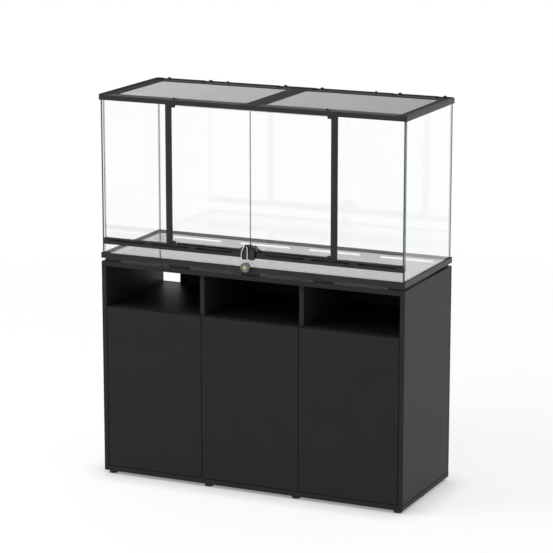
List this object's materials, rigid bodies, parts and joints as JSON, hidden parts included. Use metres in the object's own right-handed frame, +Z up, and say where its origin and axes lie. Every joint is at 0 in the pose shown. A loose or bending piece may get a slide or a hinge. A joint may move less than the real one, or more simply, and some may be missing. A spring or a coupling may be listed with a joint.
{
  "type": "terrarium cabinet",
  "caption": "Front-opening glass terrarium on a dark cabinet with open niches, push-to-open doors, mesh lids and a small cable lock.",
  "frame": {"origin": "on the floor under the middle of the cabinet", "axes": "+X to the right along the front, +Y to the back, +Z up"},
  "size_m": [1.202, 0.4835, 1.438],
  "materials": {
    "board": "anthracite melamine-faced board, fine grained",
    "door_board": "anthracite melamine-faced board, fine grained",
    "frame_plastic": "satin moulded plastic",
    "black_plastic": "satin moulded plastic",
    "grey_plastic": "matte moulded plastic",
    "glass": "clear float glass with ground edges",
    "silicone": "translucent",
    "zinc": "zinc plated, satin",
    "mesh": "fine woven mesh",
    "lock_metal": "satin",
    "lock_brass": "satin",
    "cable": "stranded steel"
  },
  "bodies": {
    "carcass": {"bottom_panel": "board", "left_side_panel": "board", "right_side_panel": "board", "top_panel": "board", "left_divider": "board", "right_divider": "board", "back_panel": "board", "niche_floors": "board", "adjustable_shelves": "board", "shelf_pins": "zinc", "levelling_feet": "black_plastic", "back_panel_screws": "zinc", "door_hinge_arms": "zinc", "push_latch_housings": "grey_plastic", "base_frame": "frame_plastic", "base_glass": "glass", "back_glass": "glass", "left_side_glass": "glass", "right_side_glass": "glass", "front_low_glass": "glass", "left_front_pane": "glass", "right_front_pane": "glass", "left_post": "frame_plastic", "right_post": "frame_plastic", "vent_bar": "frame_plastic", "vent_bar_caps": "black_plastic", "silicone_seams": "silicone", "top_frame": "frame_plastic", "lid_crossbar": "frame_plastic", "rim_trim": "black_plastic"},
    "left_cabinet_door": {"left_door": "door_board", "left_hinge_cups": "zinc"},
    "middle_cabinet_door": {"middle_door": "door_board", "middle_hinge_cups": "zinc"},
    "right_cabinet_door": {"right_door": "door_board", "right_hinge_cups": "zinc"},
    "left_plunger": {"left_latch_plunger": "grey_plastic"},
    "middle_plunger": {"middle_latch_plunger": "grey_plastic"},
    "right_plunger": {"right_latch_plunger": "grey_plastic"},
    "left_glass_door": {"left_glass_door": "glass", "left_door_pivots": "black_plastic", "left_door_handle": "black_plastic"},
    "right_glass_door": {"right_glass_door": "glass", "right_door_pivots": "black_plastic", "right_door_handle": "black_plastic"},
    "left_lid": {"left_lid_frame": "frame_plastic", "left_lid_mesh": "mesh"},
    "right_lid": {"right_lid_frame": "frame_plastic", "right_lid_mesh": "mesh"},
    "lock": {"lock_body": "lock_metal", "lock_shackle": "cable"},
    "key_plug": {"lock_key_plug": "lock_brass"},
    "shutter_1": {"inlet_shutter_1": "black_plastic"},
    "shutter_2": {"inlet_shutter_2": "black_plastic"},
    "shutter_3": {"inlet_shutter_3": "black_plastic"},
    "shutter_4": {"inlet_shutter_4": "black_plastic"},
    "shutter_5": {"inlet_shutter_5": "black_plastic"},
    "shutter_6": {"inlet_shutter_6": "black_plastic"}
  },
  "joints": [
    {"name": "left_cabinet_door_swing", "type": "hinge", "parent": "carcass", "child": "left_cabinet_door", "pos_m": [-0.58, -0.23, 0.3], "axis": [0, 0, -1], "range_deg": [0, 95]},
    {"name": "middle_cabinet_door_swing", "type": "hinge", "parent": "carcass", "child": "middle_cabinet_door", "pos_m": [-0.19267, -0.23, 0.3], "axis": [0, 0, -1], "range_deg": [0, 95]},
    {"name": "right_cabinet_door_swing", "type": "hinge", "parent": "carcass", "child": "right_cabinet_door", "pos_m": [0.58, -0.23, 0.3], "axis": [0, 0, 1], "range_deg": [0, 95]},
    {"name": "left_plunger_travel", "type": "slide", "parent": "carcass", "child": "left_plunger", "axis": [0, -1, 0], "range_m": [0, 0.014]},
    {"name": "middle_plunger_travel", "type": "slide", "parent": "carcass", "child": "middle_plunger", "axis": [0, -1, 0], "range_m": [0, 0.014]},
    {"name": "right_plunger_travel", "type": "slide", "parent": "carcass", "child": "right_plunger", "axis": [0, -1, 0], "range_m": [0, 0.014]},
    {"name": "left_glass_door_swing", "type": "hinge", "parent": "carcass", "child": "left_glass_door", "pos_m": [-0.3055, -0.2165, 1.15], "axis": [0, 0, -1], "range_deg": [0, 100]},
    {"name": "right_glass_door_swing", "type": "hinge", "parent": "carcass", "child": "right_glass_door", "pos_m": [0.3055, -0.2165, 1.15], "axis": [0, 0, 1], "range_deg": [0, 100]},
    {"name": "left_lid_lift", "type": "slide", "parent": "carcass", "child": "left_lid", "axis": [0, 0, 1], "range_m": [0, 0.12]},
    {"name": "right_lid_lift", "type": "slide", "parent": "carcass", "child": "right_lid", "axis": [0, 0, 1], "range_m": [0, 0.12]},
    {"name": "shutter_1_travel", "type": "slide", "parent": "carcass", "child": "shutter_1", "axis": [1, 0, 0], "range_m": [0, 0.024]},
    {"name": "shutter_2_travel", "type": "slide", "parent": "carcass", "child": "shutter_2", "axis": [1, 0, 0], "range_m": [0, 0.024]},
    {"name": "shutter_3_travel", "type": "slide", "parent": "carcass", "child": "shutter_3", "axis": [1, 0, 0], "range_m": [0, 0.024]},
    {"name": "shutter_4_travel", "type": "slide", "parent": "carcass", "child": "shutter_4", "axis": [1, 0, 0], "range_m": [0, 0.024]},
    {"name": "shutter_5_travel", "type": "slide", "parent": "carcass", "child": "shutter_5", "axis": [1, 0, 0], "range_m": [0, 0.024]},
    {"name": "shutter_6_travel", "type": "slide", "parent": "carcass", "child": "shutter_6", "axis": [1, 0, 0], "range_m": [0, 0.024]},
    {"name": "lock_swing", "type": "hinge", "parent": "left_glass_door", "child": "lock", "pos_m": [-0.0075, -0.24245, 0.923], "axis": [-1, 0, 0], "range_deg": [0, 75]},
    {"name": "key_turn", "type": "hinge", "parent": "lock", "child": "key_plug", "pos_m": [-0.0085, -0.24945, 0.847], "axis": [0, -1, 0], "range_deg": [0, 90]}
  ],
  "couplings": [
    {"joint": "left_plunger_travel", "follows": "left_cabinet_door_swing", "m_per_rad": 0.0084},
    {"joint": "middle_plunger_travel", "follows": "middle_cabinet_door_swing", "m_per_rad": 0.0084},
    {"joint": "right_plunger_travel", "follows": "right_cabinet_door_swing", "m_per_rad": 0.0084}
  ]
}
